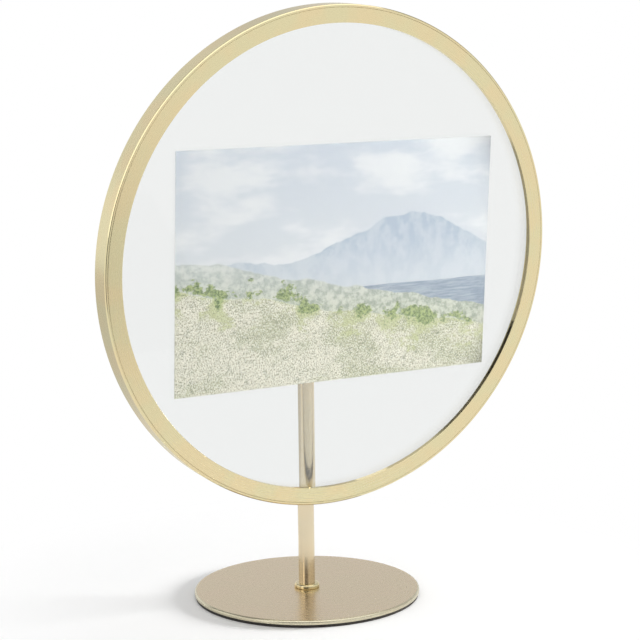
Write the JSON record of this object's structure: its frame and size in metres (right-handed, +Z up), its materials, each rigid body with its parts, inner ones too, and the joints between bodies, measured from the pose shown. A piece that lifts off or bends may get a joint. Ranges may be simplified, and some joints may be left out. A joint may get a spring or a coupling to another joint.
{
  "type": "round photo frame",
  "caption": "Round glass photo frame: a landscape print floats between two panes in a thin brass ring, carried ahead of a slim stem on a round base.",
  "frame": {"origin": "middle of the stand's underside, on the stem's axis, at the surface it stands on", "axes": "+Z up along the stem; the ring's front looks along -Y, its top leaning 4 degrees forward; +X to the viewer's right"},
  "size_m": [0.213, 0.1, 0.2594],
  "materials": {
    "satin_brass": "satin",
    "turned_brass": "machined",
    "black_rubber": "matte",
    "zinc_steel": "satin",
    "clear_glass": "polished",
    "clear_bond": "clear",
    "white_nylon": "matte",
    "printed_paper": "satin paper"
  },
  "bodies": {
    "stand": {"base_plate": "satin_brass", "base_pad": "black_rubber", "base_screw": "zinc_steel", "stem_tube": "satin_brass", "stem_collar": "satin_brass", "stem_insert": "turned_brass", "stem_head": "satin_brass"},
    "head": {"ring_hoop": "satin_brass", "rear_gasket": "black_rubber", "rear_glass": "clear_glass", "hub_bond": "clear_bond", "hub_disc": "zinc_steel", "hub_screws": "zinc_steel", "pivot_fork": "zinc_steel", "pivot_washers": "white_nylon", "pivot_screw": "zinc_steel", "pivot_spring": "zinc_steel", "pivot_nut": "zinc_steel"},
    "cover": {"front_bezel": "satin_brass", "front_gasket": "black_rubber", "front_glass": "clear_glass", "cover_pads": "black_rubber"},
    "print": {"photo_print": "printed_paper"}
  },
  "joints": [
    {"name": "head_tilt", "type": "hinge", "parent": "stand", "child": "head", "pos_m": [0, 0, 0.1547], "axis": [1, 0, 0], "range_deg": [-24, 4.5]},
    {"name": "cover_release", "type": "slide", "parent": "head", "child": "cover", "axis": [0, -0.9976, -0.0698], "range_m": [0, 0.04]},
    {"name": "print_release", "type": "slide", "parent": "head", "child": "print", "axis": [0, -0.9976, -0.0698], "range_m": [0, 0.02]}
  ],
  "couplings": [
    {"joint": "print_release", "follows": "cover_release", "ratio": 0.5}
  ]
}
